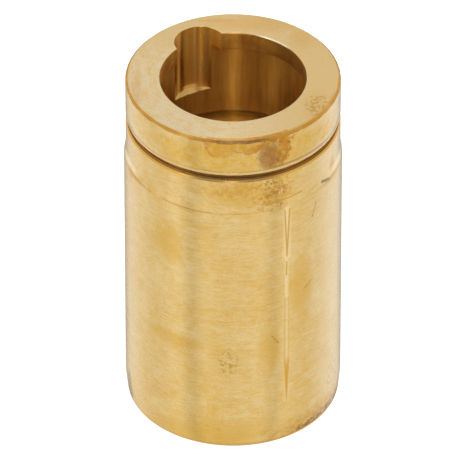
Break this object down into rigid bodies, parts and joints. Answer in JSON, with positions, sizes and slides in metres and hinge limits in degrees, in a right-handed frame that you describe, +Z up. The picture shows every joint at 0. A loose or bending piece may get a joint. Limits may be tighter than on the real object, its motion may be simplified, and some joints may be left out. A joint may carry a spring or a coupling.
{
  "type": "rigid sleeve coupling",
  "caption": "Rigid brass sleeve coupling: a plain shaft bore with an inner recess, a half-round key slot at one end, and an outside neck with a retaining-ring groove.",
  "frame": {"origin": "centre of the plain lower end face", "axes": "+Z up the shaft axis, towards the slotted end; +Y from the axis towards the key slot"},
  "size_m": [0.03, 0.03, 0.053],
  "materials": {
    "turned_brass": "bare turned and lightly polished brass, with fine tool marks and patches of orange-brown tarnish"
  },
  "bodies": {
    "root": {"coupling_sleeve": "turned_brass"}
  },
  "joints": []
}
